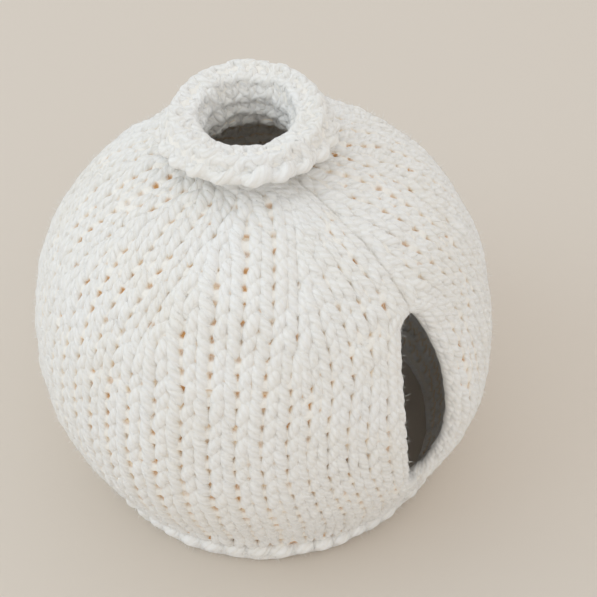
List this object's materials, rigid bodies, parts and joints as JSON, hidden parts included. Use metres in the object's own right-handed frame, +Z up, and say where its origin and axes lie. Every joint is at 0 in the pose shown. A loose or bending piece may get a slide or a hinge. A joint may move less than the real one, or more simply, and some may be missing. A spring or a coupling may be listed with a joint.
{
  "type": "tea cosy",
  "caption": "Round knitted tea cosy, hollow and open at the hem, with a rolled collar around a hole at the top and a slit on each side.",
  "frame": {"origin": "centre of the hem, on the surface it stands on", "axes": "+Z up, +X towards the long slit, -X towards the short slit, the front half on -Y"},
  "size_m": [0.1508, 0.1507, 0.1399],
  "materials": {
    "yarn": "thick soft cream yarn in stocking stitch, matt, with a fine fuzz"
  },
  "bodies": {
    "root": {"front_panel": "yarn", "back_panel": "yarn"}
  },
  "joints": []
}
